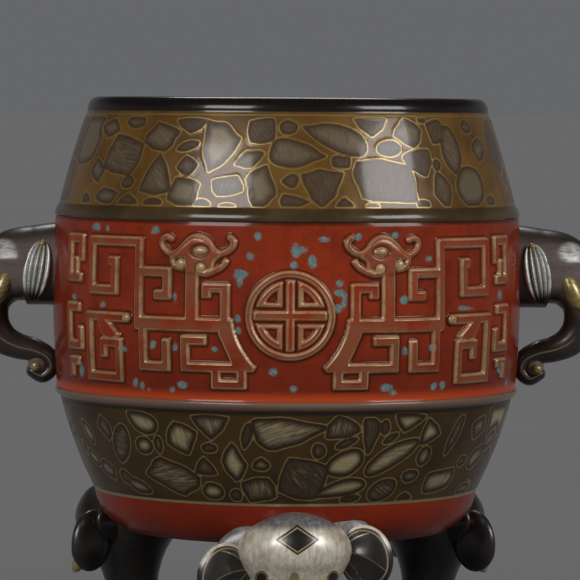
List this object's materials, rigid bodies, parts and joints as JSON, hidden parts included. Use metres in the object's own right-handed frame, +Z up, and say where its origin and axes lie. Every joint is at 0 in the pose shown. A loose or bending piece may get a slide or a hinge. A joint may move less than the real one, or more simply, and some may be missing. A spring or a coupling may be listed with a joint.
{
  "type": "tripod incense burner",
  "caption": "Barrel-shaped porcelain incense bowl on elephant-head feet, with elephant-head handles and a band of moulded fret dragons; stands open, holds ash and incense.",
  "frame": {"origin": "on the ground, on the axis of the bowl", "axes": "+Z up out of the mouth, X through the two handles, -Y towards the front roundel and the front foot"},
  "size_m": [0.2226, 0.1658, 0.1923],
  "materials": {
    "glaze": "glossy over-glaze enamels in coral red, brown, black and gold"
  },
  "bodies": {
    "root": {"censer": "glaze"}
  },
  "joints": []
}
